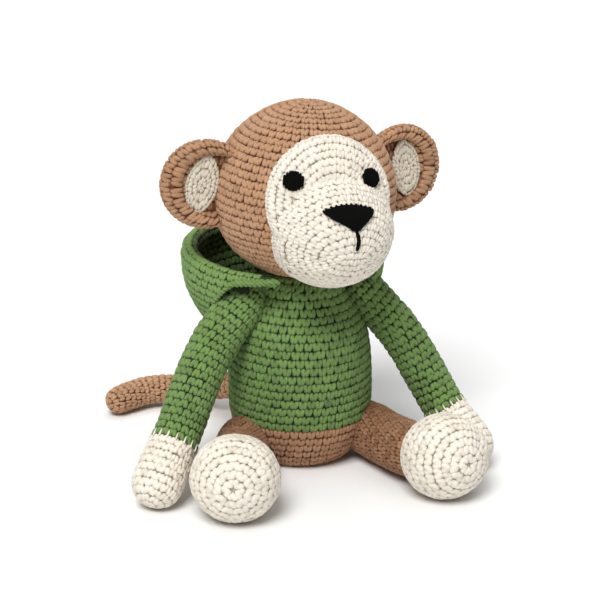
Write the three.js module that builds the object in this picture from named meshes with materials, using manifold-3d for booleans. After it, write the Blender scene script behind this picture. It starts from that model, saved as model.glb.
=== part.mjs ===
// A crocheted monkey in a hooded sweater, seated, stuffed and sewn together from separate pieces.
// Millimetres. The monkey faces -Y, its left side is +X and +Z is up. The origin is the middle of
// the flat seat that it sits on.
import * as THREE from 'three';
import { mergeVertices } from 'three/addons/utils/BufferGeometryUtils.js';
import Module from 'manifold-3d';

const wasm = await Module();
wasm.setup();

// Fabric and fits
const fabric = 3; // thickness of the crocheted fabric
const clearance = 0.3; // gap between pieces that touch
const turnGap = 0.9; // gap between pieces that turn past each other
const flatDepth = 0.5; // how far a foot or a hand is pressed flat on the table

// Facets
const bodySides = 24; // round the head and the torso
const limbSides = 20; // round an arm, leg, foot, ear or the tail
const innerSides = 12; // round the inside of a shell and its stuffing
const turnStep = 15; // degrees between the positions that a moving piece is cleared at
const headRings = 14; // rings from jaw to crown
const footRings = 10; // rings from heel to sole
const tailRings = 7; // rings along the tail
const curveSteps = 10; // steps in each curve of the face
const endAngles = [0, 25, 50, 72]; // degrees from the pole to the rings of a tube's round end
const earRollAngles = [-70, -35, 0, 35, 70, 110, 150]; // degrees of the rings in an ear's rim
const hoodRollAngles = [45, 90, 135, 180]; // degrees of the rings in the hood's rim

// Torso, from the seat to the neck
const seatRadius = 25;
const hipRadius = 35;
const hipHeight = 15;
const bellyRadius = 38.2;
const bellyHeight = 38;
const chestRadius = 34.6;
const chestHeight = 74;
const shoulderRadius = 26;
const shoulderDrop = 13; // from the edge of the neck down to the shoulders
const neckRadius = 19.5;
const neckHeight = 103;
const sweaterHem = 24.5; // height where the brown seat changes to the green sweater

// Head: a fuller jaw than crown, turned and leaning a little on the neck
const headRadius = 47.8;
const headRise = 46.8;
const headDrop = 44.6;
const crownFullness = 2.1;
const jawFullness = 2.2;
const headAbove = 43.5; // from the edge of the neck up to the middle of the head
const headCentre = { x: 1.5, y: -2.5, z: neckHeight + headAbove };
const headTurn = 5.5; // degrees towards the monkey's left
const headLean = 2.6; // degrees towards the monkey's left shoulder
const neckHole = 15; // radius of the opening left for the stuffing

// Face panel: two overlapping rounds, the lower one swelling into the muzzle
const browRadius = 34.6;
const browAcross = -1.4;
const browHeight = 4;
const cheekRadius = 31.5;
const cheekAcross = -0.7;
const cheekHeight = -11;
const muzzleCentre = { x: 0.7, y: -34, z: -10.6 };
const muzzleAcross = 32.4;
const muzzleForward = 37.5;
const muzzleUp = 29.8;
const eyeHalfWidth = 4.9;
const eyeHalfHeight = 5.3;
const eyeHeight = 16.8;
const rightEyeAcross = -22.2;
const leftEyeAcross = 18;
const noseWidth = 25.8;
const noseArch = 3; // how much higher its top is in the middle
const noseTop = 6.3;
const noseBottom = -3;
const noseAcross = -0.7;
const mouthAcross = 0.9; // where the nose's tip and the mouth lie
const mouthLength = 10;
const mouthWidth = 2.2;
const stitchRise = 1.8; // how far the black embroidery stands out of the face

// Ears: rounds with a thick rolled rim and an off-centre cup that holds a lining
const earAcross = 55;
const earBack = 2;
const earHeight = 7.6;
const earUneven = 1.1; // how much higher the left ear is sewn on, and the right one lower
const earRadius = 23.3;
const earCup = 14; // radius of the cup
const earCupShift = 4.5; // how far the cup lies towards the head
const earThick = 5.4; // half the thickness of the rolled rim
const earFloor = 2.6; // half the thickness of the cupped middle
const earFlare = 10; // degrees that an ear is turned to face outwards
const liningRise = 2; // how far the lining stands out of the cup's floor

// Arms: paths from inside the shoulder to the tip of the hand
const armTop = neckHeight - 5;
const rightArmPath = [[-24, -3, armTop], [-53, -18, 68], [-76, -39.2, 31], [-95.5, -61, 4.6]];
const leftArmPath = [[26, -3, armTop], [50.5, -15, 66], [71, -31.5, 28], [84.2, -55.4, 4.6]];
const shoulderEndRadius = 11.5;
const sleeveRadius = 12.2;
const wristRadius = 12.2;
const palmRadius = 13.4;
const handLength = 38;

// Legs and feet
const rightLegPath = [[-30.5, -4, 15], [-41, -33, 14.4], [-50.4, -70, 19]];
const leftLegPath = [[29, -4, 17], [39, -33, 15.5], [50, -70, 19]];
const legRadius = 14.3;
const footRadius = 24;
const footLength = 46;
const footAcross = 53.2;
const footForward = 79;
const footSplay = 16; // degrees that a foot points outwards
const footTilt = 8; // degrees that a sole looks upwards

// Tail
const tailPath = [[-6, 28, 30], [-16, 50, 20], [-42, 76, 9.5], [-68, 83, 8.2], [-92, 73, 8.2]];
const tailRadius = 7.8;

// Hood: a pouch with a rolled rim that hangs behind the neck
const hoodSide = -4.5; // how far it hangs to the monkey's right
const hoodAcross = 50; // half the width at the rim
const hoodDeep = 46; // half the depth at the rim
const hoodBack = 18; // how far behind the neck its middle lies
const hoodRise = 6; // from the edge of the neck up to the rim's middle
const hoodDrop = 46; // from the rim to the bottom of the pouch
const hoodBelly = 2; // how far the pouch swells past its rim
const hoodFloor = 17.5; // half the width of the pouch's bottom
const hoodTilt = 6; // degrees that the back of the rim stands higher
const hoodRoll = 4.2; // radius of the rolled rim
const hoodHemDrop = 3; // from the edge of the neck down to the hood's lower edge at the front
const hoodHemSlope = 34; // degrees that the lower edge falls towards the back

// Yarn that sews the head to the neck
const seamYarn = 2;
const seamOut = 0.4; // from the shoulder's fabric out to the middle of the yarn
const seamDrop = 4.5; // from the edge of the neck down to the yarn

// How far the sewn pieces turn, in degrees
const armRange = [-5, 50];
const legRange = [-15, 30];
const tailRange = [-20, 20];
const headRange = [-25, 25];
const hoodRange = [-3, 6];

// Yarn colours and finish
const brown = '#a87c58';
const green = '#5c7c3c';
const cream = '#efe7d6';
const black = '#171614';
const white = '#f4f3ee';

const up = new THREE.Vector3(0, 0, 1);
const back = new THREE.Vector3(0, 1, 0);
const spot = (radius, along) => new THREE.Vector2(radius, along);
const point = ({ x, y, z }) => new THREE.Vector3(x, y, z);
const radians = THREE.MathUtils.degToRad;
const upright = new THREE.LineCurve3(new THREE.Vector3(), up);

// A curve through a list of places
function pathThrough(places) {
  return new THREE.CatmullRomCurve3(places.map((place) => new THREE.Vector3(...place)));
}

// Round rings of an outline, square to a path and closed at both ends. An outline is a list of
// (radius, distance along the path) spots that starts and ends on the path.
function form(path, outline, sides, reference = back) {
  const length = path.getLength();
  const positions = [];
  const triangles = [];
  const rings = outline.map(({ x: radius, y: along }) => {
    const share = THREE.MathUtils.clamp(along / length, 0, 1);
    const tangent = path.getTangentAt(share);
    const centre = path.getPointAt(share).addScaledVector(tangent, along - share * length);
    const across = new THREE.Vector3().crossVectors(tangent, reference).normalize();
    const over = new THREE.Vector3().crossVectors(tangent, across);
    const count = radius > 0 ? sides : 1;
    return Array.from({ length: count }, (_, k) => {
      const angle = (2 * Math.PI * k) / sides;
      const place = centre.clone()
        .addScaledVector(across, radius * Math.cos(angle))
        .addScaledVector(over, radius * Math.sin(angle));
      positions.push(place.x, place.y, place.z);
      return positions.length / 3 - 1;
    });
  });
  for (let i = 0; i + 1 < rings.length; i++) {
    for (let k = 0; k < sides; k++) {
      const [a, b] = [k, k + 1].map((n) => rings[i][n % rings[i].length]);
      const [d, c] = [k, k + 1].map((n) => rings[i + 1][n % rings[i + 1].length]);
      if (a !== b) triangles.push(a, b, c);
      if (c !== d) triangles.push(a, c, d);
    }
  }
  const geometry = new THREE.BufferGeometry();
  geometry.setAttribute('position', new THREE.Float32BufferAttribute(positions, 3));
  geometry.setIndex(triangles);
  return geometry;
}

// An outline drawn in by a depth, or let out where the depth is negative
function inset(outline, depth) {
  const normals = outline.slice(1).map((end, i) => {
    const run = end.clone().sub(outline[i]).normalize();
    return spot(-run.y, run.x);
  });
  return outline.map((place, i) => {
    const before = normals[Math.max(i - 1, 0)];
    const after = normals[Math.min(i, normals.length - 1)];
    const mitre = before.clone().add(after).divideScalar(1 + before.dot(after));
    if (place.x === 0) return spot(0, place.y + depth / mitre.y);
    return place.clone().addScaledVector(mitre, depth);
  });
}

// The radius of an outline at a distance along it
function widthAt(outline, along) {
  const next = outline.findIndex((place) => place.y >= along);
  const [low, high] = [outline[next - 1], outline[next]];
  return THREE.MathUtils.mapLinear(along, low.y, high.y, low.x, high.x);
}

// The part of an outline between two distances, with flat ends
function slice(outline, from, to) {
  const cutStart = from > outline[0].y;
  const cutEnd = to < outline[outline.length - 1].y;
  const kept = outline.filter(({ y }) => (!cutStart || y > from) && (!cutEnd || y < to));
  if (cutStart) kept.unshift(spot(0, from), spot(widthAt(outline, from), from));
  if (cutEnd) kept.push(spot(widthAt(outline, to), to), spot(0, to));
  return kept;
}

// The round end of a stuffed tube, from its pole to its full radius
function roundEnd(radius, pole, direction) {
  return endAngles.map((degrees) => {
    const angle = radians(degrees);
    return spot(radius * Math.sin(angle), pole + direction * radius * (1 - Math.cos(angle)));
  });
}

// A smooth outline through a few spots, with a number of steps from each to the next
function smooth(spots, steps = 2) {
  const curve = new THREE.CatmullRomCurve3(spots.map(({ x, y }) => new THREE.Vector3(x, y, 0)));
  return curve.getPoints(steps * (spots.length - 1)).map(({ x, y }) => spot(x, y));
}

function solid(geometry, place = new THREE.Matrix4()) {
  const bare = geometry.clone().applyMatrix4(place);
  bare.deleteAttribute('normal');
  bare.deleteAttribute('uv');
  const merged = mergeVertices(bare);
  return new wasm.Manifold(new wasm.Mesh({
    numProp: 3,
    vertProperties: merged.attributes.position.array,
    triVerts: new Uint32Array(merged.index.array),
  }));
}

// The main body of a cut piece, without the crumbs that a cut can leave
function mainBody(piece) {
  return piece.decompose().reduce((best, body) => (body.volume() > best.volume() ? body : best));
}

function mesh(name, piece, colour, roughness = 0.95) {
  const { vertProperties, triVerts } = mainBody(piece).getMesh();
  const geometry = new THREE.BufferGeometry();
  geometry.setAttribute('position', new THREE.BufferAttribute(vertProperties, 3));
  geometry.setIndex(new THREE.BufferAttribute(triVerts, 1));
  geometry.computeVertexNormals();
  const finish = new THREE.MeshStandardMaterial({ color: colour, roughness, metalness: 0 });
  const result = new THREE.Mesh(geometry, finish);
  result.name = name;
  return result;
}

// The turn of a joint through an angle in degrees
function turn({ at, axis }, degrees) {
  const there = new THREE.Matrix4().makeTranslation(at);
  const turned = new THREE.Matrix4().makeRotationAxis(axis, radians(degrees));
  const home = new THREE.Matrix4().makeTranslation(at.clone().negate());
  return there.multiply(turned).multiply(home);
}

function anglesOf([low, high]) {
  const steps = Math.max(2, Math.ceil((high - low) / turnStep));
  return Array.from({ length: steps + 1 }, (_, i) => low + ((high - low) * i) / steps);
}

// Takes from a turning piece all that a still one would meet over the joint's range
function clearedOf(piece, blocker, joint) {
  return anglesOf(joint.range).reduce(
    (left, angle) => left.subtract(solid(blocker, turn(joint, -angle))),
    piece,
  );
}

// The space that a turning piece takes up over its joint's range
function sweptBy(geometry, joint) {
  return anglesOf(joint.range)
    .map((angle) => solid(geometry, turn(joint, angle)))
    .reduce((all, one) => all.add(one));
}

const table = new THREE.BoxGeometry(1000, 1000, 100).translate(0, 0, -50);
const monkey = new THREE.Group();

// A group at a joint, which takes its meshes with their places kept and notes how it turns
function addBody(name, joint, meshes) {
  const group = new THREE.Group();
  group.name = name;
  group.position.copy(joint.at);
  group.userData = { axis: joint.axis.toArray(), range: joint.range };
  monkey.add(group);
  group.updateMatrixWorld();
  meshes.forEach((piece) => group.attach(piece));
}

// Torso
const torsoSpots = [
  spot(seatRadius, 0),
  spot(hipRadius, hipHeight),
  spot(bellyRadius, bellyHeight),
  spot(chestRadius, chestHeight),
  spot(shoulderRadius, neckHeight - shoulderDrop),
  spot(neckRadius, neckHeight),
];
const torsoOutline = [spot(0, 0), ...smooth(torsoSpots), spot(0, neckHeight)];
const torsoForm = (depth, sides) => form(upright, inset(torsoOutline, depth), sides);
const torsoBlock = torsoForm(-clearance, bodySides);

// Head, in its own frame
const headPlace = new THREE.Matrix4().compose(
  point(headCentre),
  new THREE.Quaternion().setFromEuler(new THREE.Euler(0, radians(headLean), radians(headTurn), 'ZYX')),
  new THREE.Vector3(1, 1, 1),
);
const headOutline = Array.from({ length: headRings + 1 }, (_, i) => {
  const angle = (i / headRings - 0.5) * Math.PI;
  const [height, fullness] = angle < 0 ? [headDrop, jawFullness] : [headRise, crownFullness];
  const radius = i % headRings ? headRadius * Math.cos(angle) ** (2 / fullness) : 0;
  return spot(radius, height * Math.sign(angle) * Math.abs(Math.sin(angle)) ** (2 / fullness));
});
const headForm = (depth, sides) => form(upright, inset(headOutline, depth), sides);
const headSolid = (depth, sides = bodySides) => solid(headForm(depth, sides), headPlace);
const headJoint = {
  at: point(headCentre),
  axis: up.clone().transformDirection(headPlace),
  range: headRange,
};

// Face, in the head's frame
function muzzleForm(depth, sides) {
  const ball = new THREE.SphereGeometry(1, sides, sides / 2);
  ball.scale(muzzleAcross - depth, muzzleForward - depth, muzzleUp - depth);
  return ball.translate(muzzleCentre.x, muzzleCentre.y, muzzleCentre.z);
}
const muzzleSolid = (depth, sides = bodySides) => solid(muzzleForm(depth, sides), headPlace);
const faceSolid = (rise) => headSolid(-fabric - rise).add(muzzleSolid(-rise));

// A flat shape, drawn as seen from the front, pushed back through the face
const faceReach = muzzleForward - muzzleCentre.y + fabric + stitchRise;
function throughFace(shape) {
  const settings = { depth: faceReach, bevelEnabled: false, curveSegments: curveSteps };
  const block = new THREE.ExtrudeGeometry(shape, settings);
  return solid(block.rotateX(Math.PI / 2), headPlace);
}
function round(across, height, halfWidth, halfHeight = halfWidth) {
  return new THREE.Shape().absellipse(across, height, halfWidth, halfHeight, 0, 2 * Math.PI);
}

// Stitches that lie on the face within a shape
function onFace(shape) {
  return faceSolid(stitchRise).subtract(faceSolid(clearance)).intersect(throughFace(shape));
}

function headMeshes() {
  const below = -2 * headDrop;
  const neckWay = [spot(0, below), spot(neckHole, below), spot(neckHole, 0), spot(0, 0)];
  const shell = headSolid(0)
    .subtract(headSolid(fabric, innerSides))
    .subtract(solid(form(upright, neckWay, innerSides), headPlace));
  const panelShape = throughFace(round(browAcross, browHeight, browRadius))
    .add(throughFace(round(cheekAcross, cheekHeight, cheekRadius)));
  const panel = faceSolid(0)
    .subtract(headSolid(-clearance))
    .subtract(muzzleSolid(fabric, innerSides))
    .intersect(panelShape);
  const filling = muzzleSolid(fabric + clearance, innerSides).subtract(headSolid(-clearance))
    .intersect(panelShape);
  const nose = new THREE.Shape()
    .moveTo(noseAcross - noseWidth / 2, noseTop)
    .quadraticCurveTo(noseAcross, noseTop + 2 * noseArch, noseAcross + noseWidth / 2, noseTop)
    .lineTo(mouthAcross + mouthWidth / 2, noseBottom)
    .lineTo(mouthAcross - mouthWidth / 2, noseBottom)
    .closePath();
  const mouthTop = noseBottom - clearance;
  const mouth = new THREE.Shape()
    .moveTo(mouthAcross - mouthWidth / 2, mouthTop)
    .lineTo(mouthAcross - mouthWidth / 2, mouthTop - mouthLength)
    .lineTo(mouthAcross + mouthWidth / 2, mouthTop - mouthLength)
    .lineTo(mouthAcross + mouthWidth / 2, mouthTop)
    .closePath();
  return [
    mesh('head_shell', shell, brown),
    mesh('head_stuffing', headSolid(fabric + clearance, innerSides), white),
    mesh('face_panel', panel, cream),
    mesh('muzzle_stuffing', filling, white),
    mesh('eye_right', onFace(round(rightEyeAcross, eyeHeight, eyeHalfWidth, eyeHalfHeight)), black),
    mesh('eye_left', onFace(round(leftEyeAcross, eyeHeight, eyeHalfWidth, eyeHalfHeight)), black),
    mesh('nose', onFace(nose), black),
    mesh('mouth_stitch', onFace(mouth), black),
    ...earMeshes('right', -1),
    ...earMeshes('left', 1),
  ];
}

// An ear is a round with a rolled rim. The rings of its cup lie off centre, towards the head, and
// the head's surface cuts it off.
function earMeshes(name, side) {
  const rimHalf = (earRadius - earCup) / 2;
  const roll = earRollAngles.map((degrees) => {
    const angle = radians(degrees);
    return spot(earCup + rimHalf * (1 + Math.cos(angle)), earThick * Math.sin(angle));
  });
  const outline = [
    spot(0, -earFloor),
    spot(earCup, -earFloor),
    ...roll,
    spot(earCup, earFloor),
    spot(0, earFloor),
  ];
  const padRadius = earCup - clearance;
  const padFoot = earFloor + clearance;
  const padOutline = [
    spot(0, padFoot),
    spot(padRadius, padFoot),
    spot(padRadius - liningRise / 4, padFoot + liningRise / 2),
    spot(padRadius - liningRise, padFoot + liningRise),
    spot(0, padFoot + liningRise),
  ];
  const facing = new THREE.Euler(Math.PI / 2, 0, side * radians(earFlare), 'ZYX');
  const place = headPlace.clone()
    .multiply(new THREE.Matrix4().makeTranslation(side * earAcross, earBack, earHeight + side * earUneven))
    .multiply(new THREE.Matrix4().makeRotationFromEuler(facing));
  const seat = headSolid(-clearance);
  const made = (spots) => {
    const round = form(upright, spots, limbSides);
    const places = round.attributes.position;
    for (let i = 0; i < places.count; i++) {
      const reach = Math.hypot(places.getX(i), places.getY(i));
      const shift = THREE.MathUtils.mapLinear(Math.max(reach, earCup), earCup, earRadius, earCupShift, 0);
      places.setX(i, places.getX(i) - side * shift);
    }
    return solid(round, place).subtract(seat);
  };
  return [
    mesh(`ear_${name}`, made(outline), brown),
    mesh(`ear_lining_${name}`, made(padOutline), cream),
  ];
}

// Arms: sleeve, hand and stuffing on one path
function armParts(places) {
  const path = pathThrough(places);
  const length = path.getLength();
  const wrist = length - handLength;
  const outline = [
    ...roundEnd(shoulderEndRadius, 0, 1),
    ...[1, 2, 3].map((quarter) => spot(sleeveRadius, (wrist * quarter) / 4)),
    spot(wristRadius, wrist),
    spot(palmRadius, length - handLength / 2),
    ...roundEnd(palmRadius, length, -1).reverse(),
  ];
  const reach = path.getPointAt(1).sub(path.getPointAt(0)).setZ(0).normalize();
  const joint = {
    at: path.getPointAt(shoulderEndRadius / length),
    axis: new THREE.Vector3().crossVectors(reach, up),
    range: armRange,
  };
  const made = (from, to, depth, sides) => form(path, slice(inset(outline, depth), from, to), sides);
  return { length, wrist, joint, made };
}

function armMeshes(name, places) {
  const { length, wrist, joint, made } = armParts(places);
  const hollow = solid(made(0, length, fabric, innerSides));
  const sleeve = solid(made(0, wrist, 0, limbSides)).subtract(hollow);
  const hand = solid(made(wrist + clearance, length, 0, limbSides)).subtract(hollow);
  const stuffing = solid(made(0, length, fabric + clearance, innerSides));
  const sewnOn = clearedOf(sleeve, torsoBlock, joint);
  addBody(`arm_${name}`, joint, [
    mesh(`sleeve_${name}`, clearedOf(sewnOn, seamForm(turnGap), joint), green),
    mesh(`hand_${name}`, hand.subtract(solid(table)), cream),
    mesh(`arm_stuffing_${name}`, clearedOf(stuffing, torsoBlock, joint), white),
  ]);
}

// Legs: a tube sewn into a round foot
function legParts(places) {
  const path = pathThrough(places);
  const side = Math.sign(places[0][0]);
  const length = path.getLength();
  const outline = [
    ...roundEnd(legRadius, 0, 1),
    spot(legRadius, length / 2),
    ...roundEnd(legRadius, length, -1).reverse(),
  ];
  const [splay, tilt] = [radians(footSplay), radians(footTilt)];
  const sole = new THREE.Vector3(side * Math.sin(splay), -Math.cos(splay), Math.tan(tilt)).normalize();
  const middle = new THREE.Vector3(side * footAcross, -footForward, footRadius - flatDepth);
  const heel = middle.clone().addScaledVector(sole, -footLength / 2);
  const footPath = new THREE.LineCurve3(heel, heel.clone().addScaledVector(sole, footLength));
  const footOutline = Array.from({ length: footRings + 1 }, (_, i) => {
    const angle = (i / footRings) * Math.PI;
    const radius = i % footRings ? footRadius * Math.sin(angle) : 0;
    return spot(radius, (footLength / 2) * (1 - Math.cos(angle)));
  });
  const reach = path.getPointAt(1).sub(path.getPointAt(0)).setZ(0).normalize();
  const joint = {
    at: path.getPointAt(legRadius / length),
    axis: new THREE.Vector3().crossVectors(reach, up),
    range: legRange,
  };
  const tube = (depth, sides) => solid(form(path, inset(outline, depth), sides, up));
  const ball = (depth, sides) => solid(form(footPath, inset(footOutline, depth), sides, up));
  return { joint, tube, ball };
}

function legMeshes(name, places) {
  const { joint, tube, ball } = legParts(places);
  const leg = tube(0, limbSides)
    .subtract(tube(fabric, innerSides))
    .subtract(ball(-clearance, limbSides));
  const foot = ball(0, limbSides)
    .subtract(ball(fabric, innerSides))
    .subtract(tube(fabric, innerSides))
    .subtract(solid(table));
  const stuffing = tube(fabric + clearance, innerSides).add(ball(fabric + clearance, innerSides));
  addBody(`leg_${name}`, joint, [
    mesh(`leg_${name}`, clearedOf(leg, torsoBlock, joint), brown),
    mesh(`foot_${name}`, foot, cream),
    mesh(`leg_stuffing_${name}`, clearedOf(stuffing, torsoBlock, joint), white),
  ]);
}

// Tail: a thin stuffed tube that curls round on the table
function tailMeshes() {
  const path = pathThrough(tailPath);
  const length = path.getLength();
  const even = Array.from({ length: tailRings }, (_, i) => (length * (i + 1)) / (tailRings + 1));
  const outline = [
    ...roundEnd(tailRadius, 0, 1),
    ...even.map((along) => spot(tailRadius, along)),
    ...roundEnd(tailRadius, length, -1).reverse(),
  ];
  const joint = { at: path.getPointAt(tailRadius / length), axis: up, range: tailRange };
  const tube = (depth, sides) => solid(form(path, inset(outline, depth), sides, up));
  const skin = tube(0, innerSides).subtract(tube(fabric, innerSides)).subtract(solid(table));
  const stuffing = tube(fabric + clearance, innerSides);
  addBody('tail_body', joint, [
    mesh('tail', clearedOf(skin, torsoBlock, joint), brown),
    mesh('tail_stuffing', clearedOf(stuffing, torsoBlock, joint), white),
  ]);
}

// Torso shell in two colours, its stuffing and the yarn that sews the head on
function seamForm(rise) {
  const height = neckHeight - seamDrop;
  const radius = widthAt(torsoOutline, height) + seamOut;
  return new THREE.TorusGeometry(radius, seamYarn + rise, 6, bodySides).translate(0, 0, height);
}

function torsoMeshes() {
  const head = headSolid(-clearance);
  const hollow = solid(torsoForm(fabric, innerSides));
  const neckRoom = neckRadius - fabric;
  const above = 2 * neckHeight;
  const neckWay = [spot(0, hipHeight), spot(neckRoom, hipHeight), spot(neckRoom, above), spot(0, above)];
  const neckHollow = solid(form(upright, neckWay, innerSides));
  const stuffing = solid(torsoForm(fabric + clearance, innerSides));
  const lower = solid(form(upright, slice(torsoOutline, 0, sweaterHem), bodySides));
  const upper = solid(form(upright, slice(torsoOutline, sweaterHem + clearance, neckHeight), bodySides));
  const seam = solid(seamForm(0)).subtract(solid(torsoBlock)).subtract(headSolid(-fabric - clearance));
  return [
    mesh('seat', lower.subtract(hollow), brown),
    mesh('sweater_body', upper.subtract(hollow).subtract(neckHollow).subtract(head), green),
    mesh('torso_stuffing', stuffing.subtract(head), white),
    mesh('neck_stitching', seam, green),
  ];
}

// Hood: a revolved pouch, widened and tilted, then cleared of what it hangs between
const hoodRim = neckHeight + hoodRise;
const hoodJoint = {
  at: new THREE.Vector3(0, hoodBack - hoodDeep / 2, hoodRim - hoodRoll),
  axis: new THREE.Vector3(1, 0, 0),
  range: hoodRange,
};

function hoodMesh() {
  const wall = smooth([
    spot(hoodFloor, -hoodDrop),
    spot((hoodFloor + 2 * hoodAcross) / 3 + hoodBelly, -0.8 * hoodDrop),
    spot(hoodAcross + hoodBelly, -0.4 * hoodDrop),
    spot(hoodAcross + hoodRoll, 0),
  ]);
  const rim = hoodRollAngles.map((degrees) => {
    const angle = radians(degrees);
    return spot(hoodAcross + hoodRoll * Math.cos(angle), hoodRoll * Math.sin(angle));
  });
  const inner = inset([spot(0, -hoodDrop), ...wall], fabric).slice(0, -1).reverse();
  const outline = [spot(0, -hoodDrop), ...wall, ...rim, ...inner];
  const place = new THREE.Matrix4().compose(
    new THREE.Vector3(hoodSide, hoodBack, hoodRim),
    new THREE.Quaternion().setFromEuler(new THREE.Euler(radians(hoodTilt), 0, 0)),
    new THREE.Vector3(1, hoodDeep / hoodAcross, 1),
  );
  const hemBlock = table.clone()
    .rotateX(radians(-hoodHemSlope))
    .translate(0, hoodBack - hoodDeep, neckHeight - hoodHemDrop);
  let hood = solid(form(upright, outline, bodySides), place).subtract(solid(hemBlock));
  const still = solid(torsoBlock)
    .add(headSolid(-fabric - clearance))
    .add(solid(seamForm(clearance)));
  const arms = [rightArmPath, leftArmPath].map((places) => {
    const { wrist, joint, made } = armParts(places);
    return sweptBy(made(0, wrist, -turnGap, innerSides), joint);
  });
  const jaw = sweptBy(muzzleForm(-turnGap, innerSides).applyMatrix4(headPlace), headJoint);
  const blockers = [still, ...arms, jaw];
  anglesOf(hoodJoint.range).forEach((angle) => {
    blockers.forEach((blocker) => {
      hood = hood.subtract(blocker.transform(turn(hoodJoint, -angle).elements));
    });
  });
  return mesh('hood', hood, green);
}

torsoMeshes().forEach((piece) => monkey.add(piece));
addBody('head_body', headJoint, headMeshes());
addBody('hood_body', hoodJoint, [hoodMesh()]);
armMeshes('right', rightArmPath);
armMeshes('left', leftArmPath);
legMeshes('right', rightLegPath);
legMeshes('left', leftLegPath);
tailMeshes();

export default monkey;
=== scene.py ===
import math

import bpy
import numpy as np
from mathutils import Matrix, Vector


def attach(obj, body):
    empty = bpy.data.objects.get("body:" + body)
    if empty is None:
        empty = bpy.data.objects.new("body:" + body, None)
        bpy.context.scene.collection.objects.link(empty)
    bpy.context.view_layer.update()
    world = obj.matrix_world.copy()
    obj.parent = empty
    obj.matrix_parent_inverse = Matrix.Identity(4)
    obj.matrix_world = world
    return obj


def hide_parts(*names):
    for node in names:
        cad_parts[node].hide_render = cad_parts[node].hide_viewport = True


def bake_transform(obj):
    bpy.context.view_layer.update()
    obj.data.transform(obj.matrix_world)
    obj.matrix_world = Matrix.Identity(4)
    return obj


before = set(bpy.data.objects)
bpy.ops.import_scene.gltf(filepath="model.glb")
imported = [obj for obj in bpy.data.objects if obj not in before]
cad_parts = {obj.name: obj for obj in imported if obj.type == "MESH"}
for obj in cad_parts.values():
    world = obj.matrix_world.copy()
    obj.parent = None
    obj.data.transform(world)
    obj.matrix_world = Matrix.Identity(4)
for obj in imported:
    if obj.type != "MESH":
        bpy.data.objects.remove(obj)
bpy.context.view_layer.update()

# Sizes in millimetres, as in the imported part. The monkey faces -y and its left side is +x.
MM = 0.001
fabric = 3.0  # thickness of the crocheted wall
grain = 0.5  # distance between the places that a worked surface is known at
spokes = 96  # places round a worked surface
pointed = 1e-4  # a ring below this size has shrunk to a point
full_turn = 2 * math.pi
upright = [(0, 0, 0), (0, 0, 1)]
back = np.array((0.0, 1.0, 0.0))
up = np.array((0.0, 0.0, 1.0))

# The work of the hook
stitch_wide, stitch_high = 4.6, 4.4
stitch_rise, stitch_sink = 2.4, 0.8  # how far a stitch stands out, and how deep it begins
fewest_stitches = 5  # in the smallest round
row_shift = 0.28  # part of a stitch that each row is turned from the last
slip, uneven, wobble, stitch_lean = 0.035, 0.04, 0.1, 0.05  # how the stitches differ
tone_spread = 0.5  # how the dye differs from stitch to stitch
shade_low, shade_gain, shade_foot, shade_reach = 0.18, 0.82, 0.1, 0.55  # painted shade, darker down between stitches
strand_grain, strand_uneven, strand_flat = 0.25, 0.05, 0.85
# painted shade on the lower side of each laid strand
strand_shade, strand_gain = 0.7, 0.3
deep_shade = 0.16  # painted shade of the fabric behind the stitches, seen between them
table_gap = 0.05  # the lowest that fabric lies on the table

# Yarn: threads in a strand and their twist, and grains of loose fibres and of uneven dye in a metre
plies, twist = 3, 2
fibre_scale, patch_scale = 2200, 55

torso_outline = [(0, 0), (13, 0), (24, 0.4), (35, 15), (38.2, 38), (34.6, 74), (26, 90), (19.5, 103),
                 (0, 104)]
sweater_hem = 24.5
seam_radius, seam_height, seam_loops = 22.6, 98.5, 26
seam_loop = ((1.6, 0, -2), (1.8, 0.07, 0), (-0.2, 0.14, 2))  # out, turned and up along one loop

head_centre = (1.5, -2.5, 146.5)
head_radius, head_rise, head_drop = 47.8, 47.2, 44.6
crown_fullness, jaw_fullness = 1.93, 2.2  # 2 is round, more is squarer
head_turn, head_lean, crown_lean = 5.5, 2.6, 1.8
neck_hole = 15.0

# The face panel is two rounds, a brow and a cheek round, and the muzzle swells out of it
brow_radius, brow_across, brow_height = 32.8, -1.0, 4.1
cheek_radius, cheek_across, cheek_height = 30.4, 0.4, -11.4
muzzle_centre = (0.7, -34.0, -10.6)
muzzle_size = (32.4, 37.5, 29.8)
muzzle_start, muzzle_start_half = (0.7, -17.0), 6.5  # the slot that its ovals begin round
panel_middle, panel_inside = (-0.8, -3.5), (0.0, -20.0, -6.0)
panel_lap, border_depth = 5.0, 12.0
high_wall, wall_lap, wall_spare = 7.5, 1.5, 6.0  # where the panel stands well off the head
crease = 2.0  # how softly the muzzle melts into the cheeks
ray_length, ray_step = 90, 0.1
front_steps, side_steps, closing_steps = 110, 8, 16
rows_lap = 1.0  # how far the rows of the brow and the muzzle reach past the line where they meet
brow_close, border_share = 2.0, 1.1  # what the rows leave at the brow's middle, and to the edge row
face_stitch = dict(wide=4.1, high=4.0, thick=0.65, plump=(1.2, 1.03))

eye_radius, eye_height, eye_dome, eye_square = 5.2, 16.8, 0.13, 2.2
eye_threads, eye_spread, eye_lift, eye_points = 8, 0.87, 1.3, 9
under_wide, under_high, under_lift = 0.85, 0.9, 0.5  # the threads below the eye's upright ones
eye_across = {"eye_right": -22.2, "eye_left": 18.0}
nose_half, nose_arch, nose_top, nose_across, nose_tip = 12.9, 3.0, 6.3, -0.7, (0.9, -3.0)
nose_tooth, nose_swell, nose_gather = 0.5, 0.9, 0.6
nose_threads, nose_lift, nose_bulge = 21, 1.0, 0.5
pad_rows, pad_wide, pad_lift = (0.15, 0.38, 0.6, 0.8), 0.88, 0.5  # threads that the nose is padded with
mouth_length, mouth_bow, mouth_tuck, mouth_lift = 10.0, 1.1, 0.8, 0.7

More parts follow.
